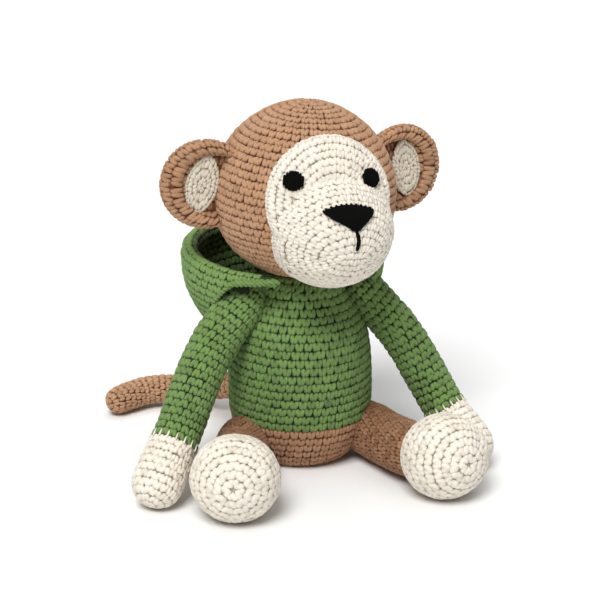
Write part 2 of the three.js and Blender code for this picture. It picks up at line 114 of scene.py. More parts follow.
ear_across, ear_shift, ear_back, ear_height, ear_uneven = 54.2, 0.8, 2.0, 7.1, 1.6
ear_radius, ear_cup, ear_cup_shift, ear_thick = 23.3, 15.3, 5.6, 5.4
ear_floor, ear_flare, cup_floor = 2.6, 10.0, 0.4
lining_half, lining_reach, lining_out, lining_lean = 9.0, 17.2, 2.0, 12.0
lining_foot, lining_rise, lining_gap, lining_tip, lining_lap = 0.6, 2.0, 0.3, 0.6, 1.5
lining_round = 0.3  # how blunt the leaf's ends are

arm_paths = {
    "right": [(-24, -3, 98), (-53, -18, 68), (-76, -39.2, 31), (-95.5, -61, 4.6)],
    "left": [(26, -3, 98), (51.2, -15, 67.8), (71.6, -31.5, 28.6), (84.2, -55.4, 4.6)],
}
shoulder_radius, palm_radius, hand_length = 11.5, 13.4, 35.4
sleeve_radius = {"right": 12.2, "left": 11.4}
# Cream yarn that is drawn up into the sleeve
spike_foot, spike_tip, spike_lift, spike_turn = 1.5, -3.4, 0.4, 0.3

leg_paths = {
    "right": [(-30.5, -4, 15), (-41, -33, 14.4), (-50.4, -70, 19)],
    "left": [(29, -4, 17), (39, -33, 15.5), (50, -70, 19)],
}
leg_radius = 14.3
foot_radius, foot_length, foot_forward, foot_squash = 22.9, 44.0, 77.0, 0.96
foot_across = {"right": -54.0, "left": 56.0}
foot_splay, foot_tilt, foot_press = 16.0, 8.0, 0.5
foot_hides, ankle, sole_close = 21.0, 9.0, 1.3

tail_path = [(-6, 28, 30), (-16, 50, 21), (-42, 77, 12), (-68, 83.6, 9.8), (-92.3, 73, 8.0)]
tail_radius = 7.3
# How deep the ends of pieces are sewn in; stitches further in are left out
limb_sewn_in, tail_sewn_in, head_sewn_in, ear_sewn_in = 6.0, 5.0, 2.0, 1.0

hood_place = (-4.5, 18.0, 109.0)
hood_outline = [(0, -46), (17.5, -46), (41.2, -36.8), (52, -18.4), (54.2, 0), (52.9, 3.2), (50, 4.4),
                (47, 3.2), (46, -1), (49, -18), (38.6, -34.6), (16.5, -43), (0, -43)]
hood_squeeze, hood_tilt = 0.92, 6.0
# Heights of its lower edge, from front to back
hood_hem = [(-32, 109), (-27, 106), (-19, 105), (0, 81), (8, 62), (40, 54)]
hood_gap = {-1: 15.0, 1: 34.0}  # degrees to each side of the front where it is open
hood_room, hood_head_room, hood_lap = 0.4, 1.0, 1.2
hood_rim = 4.0  # from the middle of its outline to the row where the inside begins
edging_step, edging_half, edging_lift, edging_end = 2.4, 1.5, 0.6, 85.0

# The room; its floor is measured in metres
floor_size, paper_white, paper_rough = 40, 0.93, 0.9
fill_strength, backdrop_strength = 0.17, 1.0


# Camera and light
def look(thing, place, target):
    """Turns a camera or a light towards a target."""
    direction = Vector(target) - Vector(place)
    thing.location = place
    thing.rotation_euler = direction.to_track_quat("-Z", "Y").to_euler()


def make_camera():
    """The photograph's view, from the front, a little from above and from the monkey's right."""
    aside, raised, away = math.radians(-15), math.radians(19), 1.1
    target = Vector((0, 0, 0.08))
    towards = Vector((math.sin(aside) * math.cos(raised), -math.cos(aside) * math.cos(raised),
                      math.sin(raised)))
    view = bpy.data.cameras.new("camera")
    view.lens, view.sensor_width, view.shift_y = 124.5, 36, 10 / 600
    camera = bpy.data.objects.new("camera", view)
    bpy.context.collection.objects.link(camera)
    look(camera, target + towards * away, target)
    bpy.context.scene.camera = camera


def make_light(name, place, softness, strength):
    lamp = bpy.data.lights.new(name, "SUN")
    lamp.angle, lamp.energy = math.radians(softness), strength
    light = bpy.data.objects.new(name, lamp)
    bpy.context.collection.objects.link(light)
    look(light, place, (0, 0, 0.09))


# Shader values that add up like numbers
class Dye:
    def __init__(self, tree, socket=None):
        self.tree, self.socket = tree, socket

    def node(self, kind, settings=None, inputs=None, out=0):
        made = self.tree.nodes.new("ShaderNode" + kind)
        for key, value in (settings or {}).items():
            setattr(made, key, value)
        for key, value in (inputs or {}).items():
            if isinstance(value, Dye):
                self.tree.links.new(value.socket, made.inputs[key])
            else:
                made.inputs[key].default_value = value
        return Dye(self.tree, made.outputs[out] if made.outputs else None)

    def maths(self, operation, *values):
        return self.node("Math", {"operation": operation}, dict(enumerate(values)))

    def __add__(self, other): return self.maths("ADD", self, other)
    def __radd__(self, other): return self.maths("ADD", other, self)
    def __sub__(self, other): return self.maths("SUBTRACT", self, other)
    def __rsub__(self, other): return self.maths("SUBTRACT", other, self)
    def __mul__(self, other): return self.maths("MULTIPLY", self, other)
    def __rmul__(self, other): return self.maths("MULTIPLY", other, self)

    def mixed(self, low, high):
        return self.node("Mix", {"data_type": "RGBA"}, {0: self, 6: low, 7: high}, out=2)


def linear(red, green, blue):
    """A screen colour as the shader wants it."""
    shares = [value / 255 for value in (red, green, blue)]
    return [s / 12.92 if s <= 0.04045 else ((s + 0.055) / 1.055) ** 2.4 for s in shares] + [1]


def yarn(name, bright, painted_shade_colour, warm, sheen=0.12, gloss=0.2):
    """Twisted cotton yarn: plies along each strand, loose fibres, and painted shade down between stitches.
    """
    material = bpy.data.materials.new(name)
    material.use_nodes = True
    tree = material.node_tree
    tree.nodes.clear()
    dye = Dye(tree)
    bright, painted_shade_colour, warm = linear(*bright), linear(*painted_shade_colour), linear(*warm)
    places = dye.node("TexCoord", out="Object")
    around = dye.node("SeparateXYZ", inputs={0: dye.node("UVMap", {"uv_map": "UVMap"})})
    along_it = Dye(tree, around.socket.node.outputs["Y"])
    tone = dye.node("Attribute", {"attribute_name": "tone"}, out="Fac")
    shade = dye.node("Attribute", {"attribute_name": "shade"}, out="Fac")
    ply = dye.maths("SINE", (around * plies + along_it * twist) * full_turn) * 0.5 + 0.5
    fibre = dye.node("TexNoise", inputs={"Vector": places, "Scale": fibre_scale, "Detail": 3,
                                         "Roughness": 0.65})
    patch = dye.node("TexNoise", inputs={"Vector": places, "Scale": patch_scale, "Detail": 2})
    # painted shade: the colour goes darker down between the stitches and in the fabric behind them
    lit = shade * (0.82 + 0.18 * ply) * (0.86 + 0.28 * fibre)
    depth = dye.node("Clamp", inputs={0: lit + tone * 0.16})
    warmth = dye.node("Clamp", inputs={0: (patch - 0.42) * 1.6 + tone * 0.3})
    colour = warmth.mixed(depth.mixed(painted_shade_colour, bright), depth.mixed(painted_shade_colour, warm))
    relief = dye.node("Bump", inputs={"Strength": 0.55, "Distance": 0.0004,
                                      "Height": ply * 0.6 + fibre * 0.5})
    cotton = dye.node("BsdfPrincipled", inputs={
        "Base Color": colour, "Roughness": 0.95 - 0.12 * fibre, "Normal": relief,
        "Sheen Weight": sheen, "Sheen Roughness": 0.55, "Specular IOR Level": gloss})
    dye.node("OutputMaterial", inputs={0: cotton})
    return material


# Lines and worked surfaces
def through(places, steps=16):
    """A smooth line through a few places."""
    p = np.array(places, float)
    p = np.vstack([2 * p[0] - p[1], p, 2 * p[-1] - p[-2]])
    line = []
    for a, b, c, d in zip(p, p[1:], p[2:], p[3:]):
        t1 = np.linalg.norm(b - a) ** 0.5
        t2 = t1 + np.linalg.norm(c - b) ** 0.5
        t3 = t2 + np.linalg.norm(d - c) ** 0.5
        t = np.linspace(t1, t2, steps, endpoint=False)[:, None]
        ab = ((t1 - t) * a + t * b) / t1
        bc = ((t2 - t) * b + (t - t1) * c) / (t2 - t1)
        cd = ((t3 - t) * c + (t - t2) * d) / (t3 - t2)
        abc = ((t2 - t) * ab + t * bc) / t2
        bcd = ((t3 - t) * bc + (t - t1) * cd) / (t3 - t1)
        line.append(((t2 - t) * abc + (t - t1) * bcd) / (t2 - t1))
    return np.vstack(line + [p[-2:-1]])


def distances(line):
    """How far along a line each of its points lies."""
    return np.concatenate([[0], np.cumsum(np.linalg.norm(np.diff(line, axis=0), axis=1))])


def along(line, spots, rows=None):
    """Places at distances along a line, or what its rows of values are there."""
    run = distances(line)
    return np.stack([np.interp(spots, run, axis) for axis in (line if rows is None else rows).T], axis=1)


def evenly(line, step=grain):
    """The same line with its points an equal step apart."""
    line = np.array(line, float)
    length = distances(line)[-1]
    return along(line, np.linspace(0, length, max(3, round(length / step) + 1)))


def unit(vectors):
    return vectors / np.maximum(np.linalg.norm(vectors, axis=-1, keepdims=True), 1e-9)


def turned(path, outline, reference=back):
    """Places round a path, from an outline of (radius, distance along the path)."""
    line, outline = evenly(path), evenly(outline)
    spots = np.clip(outline[:, 1], 0, distances(line)[-1])
    ahead = unit(along(line, spots, unit(np.gradient(line, axis=0))))
    centre = along(line, spots) + ahead * (outline[:, 1] - spots)[:, None]
    across = unit(np.cross(ahead, reference))
    over = np.cross(ahead, across)
    angle = (np.arange(spokes) * full_turn / spokes)[:, None, None]
    return centre + outline[None, :, :1] * (np.cos(angle) * across + np.sin(angle) * over)


def placed(places, matrix):
    return places @ np.array(matrix.to_3x3()).T + np.array(matrix.translation)


class Rounds:
    """A surface that is worked in rounds, with its places by spoke and by distance from its start."""

    def __init__(self, places, inside=(0, 0, 0)):
        self.places, (self.count, self.steps) = places, places.shape[:2]
        raw = np.cross(np.roll(places, -1, 0) - np.roll(places, 1, 0), np.gradient(places, axis=1))
        outward = np.sign(np.sum((places - np.array(inside)) * raw))
        size = np.linalg.norm(raw, axis=2)
        normals = unit(raw) * outward
        good = np.flatnonzero(size.min(axis=0) > pointed)
        for step in np.flatnonzero(size.min(axis=0) <= pointed):
            near = normals[:, good[np.argmin(np.abs(good - step))]]
            shrunk = size[:, step].max() <= pointed
            normals[:, step] = unit(near.mean(axis=0)) if shrunk else near
        self.normals = normals

    def at(self, spoke, distance, rise):
        """Places at spokes and distances, lifted off the surface."""
        spoke = np.asarray(spoke, float)
        step = np.clip(np.asarray(distance, float) / grain, 0, self.steps - 1.001)
        i, j = np.floor(spoke).astype(int), np.floor(step).astype(int)
        f, g = (spoke - i)[..., None], (step - j)[..., None]
        here, there = i % self.count, (i + 1) % self.count

        def mixed(rows):
            return ((rows[here, j] * (1 - g) + rows[here, j + 1] * g) * (1 - f)
                    + (rows[there, j] * (1 - g) + rows[there, j + 1] * g) * f)
        return mixed(self.places) + np.asarray(rise)[..., None] * unit(mixed(self.normals))

    def length(self):
        return (self.steps - 1) * grain

    def part(self, start, end):
        """The surface between two distances, closed by flat ends."""
        first, last = round(start / grain), round(end / grain)
        kept = self.places[:, first:last + 1]

        def cap(ring):
            middle = ring.mean(axis=0)
            count = max(2, round(np.linalg.norm(ring - middle, axis=1).mean() / grain / 2))
            return np.stack([ring + (middle - ring) * k / count for k in range(1, count + 1)], axis=1)
        pieces = [kept]
        if first > 0:
            pieces.insert(0, cap(kept[:, 0])[:, ::-1])
        if last < self.steps - 1:
            pieces.append(cap(kept[:, -1]))
        return Rounds(np.concatenate(pieces, axis=1))


# The stitch and the strand, each modelled once
def shape_of(thing):
    """The points, faces and map of a modelled shape, which then goes."""
    mesh = thing.data
    points = np.array([v.co for v in mesh.vertices])
    faces = [tuple(face.vertices) for face in mesh.polygons]
    loops = np.concatenate(faces)
    sizes = np.array([len(face) for face in faces])
    spots = np.array([spot.uv for spot in mesh.uv_layers.active.data])
    bpy.data.objects.remove(thing)
    return points, loops, sizes, spots


def pick(test):
    """Selects the points of the piece in edit mode whose place passes a test."""
    bpy.ops.mesh.select_all(action="DESELECT")
    bpy.ops.object.mode_set(mode="OBJECT")
    for point in bpy.context.object.data.vertices:
        point.select = bool(test(point.co))
    bpy.ops.object.mode_set(mode="EDIT")


def model_stitch():
    """One stitch, a V of two fat legs that press against their neighbours. Its width and height are 1."""
    fullness = (0.75, 0.7, 0.8)  # below 1 is squarer than a ball
    foot, spread, swell = 0.23, 0.075, 0.1
    half_wide, half_high, half_thick, dip = 0.285, 0.56, 0.5, 0.16
    bpy.ops.object.select_all(action="DESELECT")
    bpy.ops.mesh.primitive_uv_sphere_add(segments=8, ring_count=6, radius=1)
    leg = bpy.context.object
    bpy.ops.object.mode_set(mode="EDIT")
    bpy.ops.mesh.select_mode(type="VERT")
    bpy.ops.mesh.select_all(action="SELECT")
    bpy.ops.transform.rotate(value=math.pi / 2, orient_axis="X", center_override=(0, 0, 0))
    bpy.ops.object.mode_set(mode="OBJECT")
    for point in leg.data.vertices:
        x, y, z = (math.copysign(abs(v) ** power, v) for v, power in zip(point.co, fullness))
        point.co = (foot + spread * y + half_wide * x * (1 + swell * y), half_high * y,
                    half_thick * z - dip * y ** 4)
    bpy.ops.object.modifier_add(type="MIRROR")
    leg.modifiers[0].use_axis = (True, False, False)
    leg.modifiers[0].use_mirror_merge = False
    bpy.ops.object.modifier_apply(modifier=leg.modifiers[0].name)
    return shape_of(leg)


def model_strand():
    """One laid strand with round ends, from -1 to 1 along Y."""
    bpy.ops.object.select_all(action="DESELECT")
    bpy.ops.mesh.primitive_uv_sphere_add(segments=6, ring_count=8, radius=1, rotation=(math.pi / 2, 0, 0))
    thread = bpy.context.object
    bpy.ops.object.transform_apply(location=True, rotation=True, scale=True)
    bpy.ops.object.mode_set(mode="EDIT")
    for low, high, wider in ((0.3, 0.5, 1.1), (0.6, 0.8, 1.3), (0.85, 0.97, 1.7)):
        pick(lambda co: low < abs(co.y) < high)
        bpy.ops.transform.resize(value=(wider, 1, wider), center_override=(0, 0, 0))
    bpy.ops.object.mode_set(mode="OBJECT")
    return shape_of(thread)


stitch = model_stitch()
strand = model_strand()


def worked(rounds, seed, start=0.0, end=None, keep=None, wide=stitch_wide, high=stitch_high, thick=1.0,
           plump=(1.0, 1.0), painted_shading=1.0):
    """Rows of stitches over a surface: the points of each, its tone, its shape and its shades."""
    rng = np.random.default_rng(seed)
    end = rounds.length() if end is None else end
    rows = max(1, round((end - start) / high))
    high = (end - start) / rows
    x, y, z = stitch[0].T
    laid, tones, phase = [], [], 0.0
    for row in range(rows):
        middle = start + (row + 0.5) * high
        ring = rounds.at(np.arange(rounds.count), middle, 0)
        run = distances(np.vstack([ring, ring[:1]]))
        count = max(fewest_stitches, round(run[-1] / wide))
        phase += row_shift / count
        share = np.arange(count) / count + phase + rng.normal(0, slip, count) / count
        spoke = lambda s: np.interp((s % 1) * run[-1], run, np.arange(rounds.count + 1))
        if keep is not None:
            centre = rounds.at(spoke(share), middle, 0)
            share = share[keep(centre, spoke(share), middle)]
        n = len(share)
        if not n:
            continue
        size, lean = rng.normal(1, uneven, (n, 1)), rng.normal(stitch_lean, stitch_lean, (n, 1))
        s = share[:, None] + (x * size * plump[0] + y * lean) / count
        d = middle + (y * plump[1] * rng.normal(1, uneven, (n, 1)) + rng.normal(0, uneven, (n, 1))) * high
        rise = (z * stitch_rise - stitch_sink) * thick + rng.normal(0, wobble, (n, 1))
        laid.append(rounds.at(spoke(s), d, rise))
        tones.append(rng.normal(0, tone_spread, n))
    # painted shade, darker down between the stitches; the factor before it paints a whole piece darker or
    # lighter for how light falls on it
    shades = painted_shading * (shade_low + shade_gain * np.clip((z + shade_foot) / shade_reach, 0, 1))
    return np.concatenate(laid), np.concatenate(tones), stitch, shades


def strands(paths, seed, radius, outward, taper=0.0):
    """Strands laid along lines, each flattened a little against what it lies on."""
    rng = np.random.default_rng(seed)
    x, y, z = strand[0].T
    laid = []
    for path, out in zip(paths, np.broadcast_to(outward, (len(paths), 3))):
        line = evenly(path, strand_grain)
        share = (y + 1) / 2
        spots = share * distances(line)[-1]
        ahead = unit(along(line, spots, np.gradient(line, axis=0)))
        side = unit(np.cross(ahead, out))
        rise = np.cross(side, ahead)
        fat = radius * rng.normal(1, strand_uneven) * (1 - taper * share)
        wide, high = (x * fat)[:, None], (z * fat * strand_flat)[:, None]
        laid.append(along(line, spots) + side * wide + rise * high)
    # painted shade on each strand's lower side
    return np.array(laid), rng.normal(0, tone_spread, len(laid)), strand, strand_shade + strand_gain * z


# Pieces
def press(points):
    """Points pressed flat on the table."""
    points[..., 2] = np.maximum(points[..., 2], table_gap)
    return points


def note(mesh, label, values):
    """Writes a value for each point of a mesh."""
    notes = mesh.attributes.new(label, "FLOAT", "POINT")
    notes.data.foreach_set("value", values.astype(np.float32))


def lay(name, copies):
    """One mesh of all the laid stitches or strands."""
    points, loops, sizes, spots, tones, shades = [], [], [], [], [], []
    first = 0
    for laid, tone, (_, base_loops, base_sizes, base_spots), shade in copies:
        n, v = laid.shape[:2]
        points.append(press(laid).reshape(-1, 3))
        loops.append((base_loops[None] + first + v * np.arange(n)[:, None]).ravel())
        sizes.append(np.tile(base_sizes, n))
        spots.append(np.tile(base_spots, (n, 1)))
        tones.append(np.repeat(tone, v))
        shades.append(np.tile(shade, n))
        first += n * v
    points, loops, sizes, spots = map(np.concatenate, (points, loops, sizes, spots))
    mesh = bpy.data.meshes.new(name)
    mesh.vertices.add(len(points))
    mesh.vertices.foreach_set("co", (points * MM).ravel())
    mesh.loops.add(len(loops))
    mesh.loops.foreach_set("vertex_index", loops.astype(np.int32))
    mesh.polygons.add(len(sizes))
    mesh.polygons.foreach_set("loop_start", (np.cumsum(sizes) - sizes).astype(np.int32))
    mesh.update(calc_edges=True)
    mesh.uv_layers.new(name="UVMap").data.foreach_set("uv", spots.ravel())
    note(mesh, "tone", np.concatenate(tones))
    note(mesh, "shade", np.concatenate(shades))
    mesh.polygons.foreach_set("use_smooth", np.ones(len(sizes), bool))
    thing = bpy.data.objects.new(name, mesh)
    bpy.context.collection.objects.link(thing)
    return thing


def core(rounds, sides, rings, sink, shade=deep_shade, name="fabric"):
    """The fabric behind the stitches: a ball whose rings are moved onto the worked surface."""
    bpy.ops.object.select_all(action="DESELECT")
    bpy.ops.mesh.primitive_uv_sphere_add(segments=sides, ring_count=rings, radius=1)
    thing = bpy.context.object
    thing.name = thing.data.name = name
    mesh = thing.data
    ball = np.array([v.co for v in mesh.vertices])
    spoke = np.arctan2(ball[:, 1], ball[:, 0]) / full_turn * rounds.count
    distance = (np.arcsin(np.clip(ball[:, 2], -1, 1)) / math.pi + 0.5) * rounds.length()
    moved = press(rounds.at(spoke, distance, -sink))
    mesh.vertices.foreach_set("co", (moved * MM).ravel())
    note(mesh, "tone", np.zeros(len(ball)))
    # painted shade: the fabric that shows between the stitches is darker
    note(mesh, "shade", np.full(len(ball), shade))
    bpy.ops.object.mode_set(mode="EDIT")
    bpy.ops.mesh.select_all(action="SELECT")
    bpy.ops.mesh.remove_doubles(threshold=1e-6)
    bpy.ops.mesh.normals_make_consistent(inside=False)
    bpy.ops.object.mode_set(mode="OBJECT")
    bpy.ops.object.shade_smooth()
    return thing


# Each yarn: its colour on top of the stitches, its painted shade down between them, and a warmer dye
yarns = {
    "brown_yarn": yarn("brown_cotton_yarn", (202, 160, 126), (108, 61, 26), (189, 143, 105)),
    "green_yarn": yarn("green_cotton_yarn", (126, 158, 90), (14, 30, 4), (112, 146, 74)),
    "cream_yarn": yarn("cream_cotton_yarn", (250, 243, 232), (182, 168, 140), (246, 237, 220)),
    "black_yarn": yarn("black_cotton_yarn", (14, 13, 12), (3, 3, 3), (11, 11, 10), sheen=0.0, gloss=0.06),
}


def crocheted(name, fabric_core, copies, slot, nodes):
    """Joins a fabric with its stitches, names the piece, gives it its yarn and hides the parts it stands in
    for.
    """
    thing = lay(name + "_stitches", copies)
    bpy.ops.object.select_all(action="DESELECT")
    if fabric_core is not None:
        for part in (thing, fabric_core):
            part.select_set(True)
        bpy.context.view_layer.objects.active = fabric_core
        bpy.ops.object.join()
        thing = fabric_core
    thing.name = thing.data.name = "crochet_" + name
    thing.data.materials.clear()
    thing.data.materials.append(yarns[slot])
    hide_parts(*nodes)
    return thing


# The forms that the pieces are worked on and kept clear of
def head_width(z, rise=0.0):
    """The head's half width at a height over its middle."""
    height = np.where(z >= 0, head_rise, head_drop) + rise
    fullness = np.where(z >= 0, crown_fullness, jaw_fullness)
    share = np.clip(np.abs(z) / height, 0, 1)
    return (head_radius + rise) * (1 - share ** fullness) ** (1 / fullness)


def rotation(degrees, axis):
    return Matrix.Rotation(math.radians(degrees), 4, axis)


head_place = Matrix.Translation(head_centre) @ rotation(head_turn, "Z") @ rotation(head_lean, "Y")
head_home = head_place.inverted()
torso_line = through(torso_outline)
torso_side = torso_line[20:-16]  # without its flat bottom and its lid
hood_turn = Matrix.Translation(hood_place) @ rotation(hood_tilt, "X")


def off_head(points, rise=0.0):
    """How far points lie outside the head, sideways."""
    own = placed(points, head_home)
    inside = np.abs(own[..., 2]) < np.where(own[..., 2] >= 0, head_rise, head_drop) + rise
    away = np.hypot(own[..., 0], own[..., 1]) - head_width(own[..., 2], rise)
    return np.where(inside, away, np.abs(own[..., 2]))


def off_torso(points):
    """How far points lie outside the torso, sideways."""
    width = np.interp(points[..., 2], torso_side[:, 1], torso_side[:, 0], right=0)
    return np.hypot(points[..., 0], points[..., 1]) - width


def off_line(points, line):
    """How far points lie from the nearest place of a line."""
    away = np.full(points.shape[:-1], np.inf)
    for place in line:
        away = np.minimum(away, np.linalg.norm(points - place, axis=-1))
    return away


def clear_of(form, depth):
    """A test that leaves out stitches which are deeper than this in a form."""
    return lambda points, spoke, distance: form(points) > -depth


def in_panel(x, z, margin=0.0):
    """Whether the face panel covers a place, seen from the front."""
    return ((np.hypot(x - brow_across, z - brow_height) < brow_radius - margin)
            | (np.hypot(x - cheek_across, z - cheek_height) < cheek_radius - margin))


def face_fronts(x, z):
    """How far the cheeks and the muzzle stand in front of the head's middle."""
    cheek = np.sqrt(np.maximum(head_width(z, fabric) ** 2 - x ** 2, 0))
    aside, above = (x - muzzle_centre[0]) / muzzle_size[0], (z - muzzle_centre[2]) / muzzle_size[2]
    room = 1 - aside ** 2 - above ** 2
    return cheek, -muzzle_centre[1] + muzzle_size[1] * np.sign(room) * np.sqrt(np.abs(room))


def face_front(x, z):
    """How far the face stands out, the muzzle melting into the cheeks."""
    cheek, muzzle = face_fronts(x, z)
    share = np.clip(0.5 + 0.5 * (muzzle - cheek) / crease, 0, 1)
    return cheek + (muzzle - cheek) * share + crease * share * (1 - share)


def muzzle_lead(points):
    """How far the muzzle stands in front of the cheeks."""
    own = placed(points, head_home)
    cheek, muzzle = face_fronts(own[:, 0], own[:, 2])
    return muzzle - cheek


def on_face(x, z, rise=0.0):
    """Places on the face, seen from the front."""
    x, z = np.broadcast_arrays(np.asarray(x, float), np.asarray(z, float))
    return placed(np.stack([x, -face_front(x, z) - rise, z], axis=-1), head_place)


def face_frame(x, z, near=0.2):
    """A place on the face, with the directions to its side, up and out."""
    side = unit(on_face(x + near, z) - on_face(x - near, z))
    out = unit(np.cross(side, on_face(x, z + near) - on_face(x, z - near)))
    return on_face(x, z), side, np.cross(out, side), out


def make_torso():
    """The seat and the sweater, one shell in two colours, and the seam that holds the head."""
    rounds = Rounds(turned(upright, torso_line))
    hem = grain * np.argmax(evenly(torso_line)[:, 1] > sweater_hem)
    # painted shade: the seat's stitches are made darker, for the shade under the belly
    seat = crocheted("seat", core(rounds.part(0, hem), sides=48, rings=24, sink=1.5),
                     [worked(rounds, seed=1, end=hem, painted_shading=0.72)], "brown_yarn", ["seat"])
    sweater = crocheted("sweater", core(rounds.part(hem, rounds.length()), sides=48, rings=32, sink=1.5),
                        [worked(rounds, seed=2, start=hem, keep=clear_of(off_head, head_sewn_in))],
                        "green_yarn", ["sweater_body", "torso_stuffing"])
    loops = [[((seam_radius + out) * math.cos(angle + turn), (seam_radius + out) * math.sin(angle + turn),
               seam_height + rise) for out, turn, rise in seam_loop]
             for angle in np.arange(seam_loops) * full_turn / seam_loops]
    neck = crocheted("neck_stitching", None, [strands(loops, seed=3, radius=1.1, outward=up)],
                     "green_yarn", ["neck_stitching"])
    for piece in (seat, sweater, neck):
        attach(piece, "torso")


def make_head():
    """A ball whose crown and jaw differ, worked from the neck to the crown."""
    angles = np.linspace(-0.5, 0.5, 61) * math.pi
    fullness = np.where(angles < 0, jaw_fullness, crown_fullness)
    height = np.where(angles < 0, head_drop, head_rise) * np.sign(angles)
    outline = np.stack([head_radius * np.maximum(np.cos(angles), 0) ** (2 / fullness),
                        height * np.abs(np.sin(angles)) ** (2 / fullness)], axis=1)
    outline[[0, -1], 0] = 0
    rounds = Rounds(placed(turned(upright, outline), head_place @ rotation(crown_lean, "Y")), head_centre)

    def shown(points, spoke, distance):
        own = placed(points, head_home)
        covered = in_panel(own[:, 0], own[:, 2], panel_lap) & (own[:, 1] < 0)
        return ~covered & ((own[:, 2] > 0) | (np.hypot(own[:, 0], own[:, 1]) > neck_hole))
    head = crocheted("head", core(rounds, sides=64, rings=40, sink=1.5),
                     [worked(rounds, seed=4, keep=shown, wide=4.3, high=4.15)],
                     "brown_yarn", ["head_shell", "head_stuffing"])
    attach(head, "head")


def rays(centre, half=0.0):
    """Lines over the face, from a slot out to the edge of its panel, and their lengths."""
    reach = np.arange(0, ray_length, ray_step)
    lines = []
    for angle in np.arange(spokes) * full_turn / spokes:
        x = centre[0] + (half + reach) * math.cos(angle)
        z = centre[1] + reach * math.sin(angle)
        last = np.argmin(in_panel(x, z))
        lines.append(on_face(x[:last], z[:last]))
    return lines, np.array([distances(line)[-1] for line in lines])


def inward(lines, lengths, depth):
    """Rounds that follow the panel's edge and go in from it."""
    steps = np.arange(0, depth, grain)
    places = [along(line, length - steps) for line, length in zip(lines, lengths)]
    return Rounds(np.array(places), head_centre)


def make_face():
    """The panel's edge row and its wall, brow rows that follow the edge, and ovals round the muzzle."""
    lines, reach = rays(muzzle_start, muzzle_start_half)
    steps = np.arange(0, reach.max() + grain, grain)
    muzzle = Rounds(np.array([along(line, steps) for line in lines]), head_centre)
    brow_lines, brow_reach = rays((brow_across, brow_height))
    brow = inward(brow_lines, brow_reach, brow_reach.max())
    border = inward(*rays(panel_middle), border_depth)
    front = np.array([along(line, np.linspace(0, length, front_steps))
                      for line, length in zip(lines, reach)])
    edge = front[:, -1:]
    own = placed(edge, head_home)
    own[..., 1] = -np.sqrt(np.maximum(head_width(own[..., 2], -1) ** 2 - own[..., 0] ** 2, 0))
    seated = placed(own, head_place)
    sides = edge + (seated - edge) * np.linspace(0.1, 1, side_steps)[None, :, None]
    inside = placed(np.array([panel_inside]), head_place)
    closing = seated + (inside - seated) * np.linspace(0.1, 1, closing_steps)[None, :, None]
    panel = Rounds(np.concatenate([front, sides, closing], axis=1), head_centre)
    wall_reach = np.linalg.norm(seated - edge, axis=2)[:, 0]
    wall_steps = np.arange(0, wall_reach.max() + wall_spare, grain)
    wall = Rounds(edge + unit(seated - edge) * wall_steps[None, :, None], head_centre)

    def left_over(reach, spoke, distance):
        return np.interp(spoke, np.arange(spokes + 1), np.append(reach, reach[0])) - distance

    def on_wall(points, spoke, distance):
        lap = np.where(left_over(wall_reach, spoke, 0) > high_wall, -wall_lap, wall_lap)
        return left_over(wall_reach, spoke, distance) > lap

    def on_brow(points, spoke, distance):
        return (muzzle_lead(points) < rows_lap) & (left_over(brow_reach, spoke, distance) > brow_close)

    def on_muzzle(points, spoke, distance):
        room = left_over(reach, spoke, distance)
        return (muzzle_lead(points) > -rows_lap) & (room > border_share * high)
    high = face_stitch["high"]
    rows = [worked(border, seed=6, end=high, **face_stitch),
            worked(wall, seed=26, keep=on_wall, **face_stitch),
            worked(brow, seed=5, start=high, keep=on_brow, **face_stitch),
            worked(muzzle, seed=7, keep=on_muzzle, **face_stitch)]
    face = crocheted("face", core(panel, sides=96, rings=60, sink=1.2, shade=0.5), rows,
                     "cream_yarn", ["face_panel", "muzzle_stuffing"])
    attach(face, "head")


def make_eye(name):
    """Upright strands over a few that lie across them, domed a little."""
    place, side, rise, out = face_frame(eye_across[name], eye_height)

    def spots(x, z, lift):
        x, z = np.broadcast_arrays(x, z)
        fall = (lift - eye_dome * (x ** 2 + z ** 2) / eye_radius)[:, None]
        return place + x[:, None] * side + z[:, None] * rise + fall * out
    upper, under = [], []
    for row in np.linspace(-eye_spread, eye_spread, eye_threads) * eye_radius:
        half = eye_radius * (1 - abs(row / eye_radius) ** eye_square) ** (1 / eye_square)
        upper.append(spots(row, np.linspace(-half, half, eye_points), eye_lift))
        lying = np.linspace(-under_wide, under_wide, eye_points) * half
        under.append(spots(lying, row * under_high, under_lift))
    eye = crocheted(name, None, [strands(upper, seed=8, radius=0.9, outward=out),
                                 strands(under, seed=9, radius=1.0, outward=out)], "black_yarn", [name])
    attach(eye, "head")


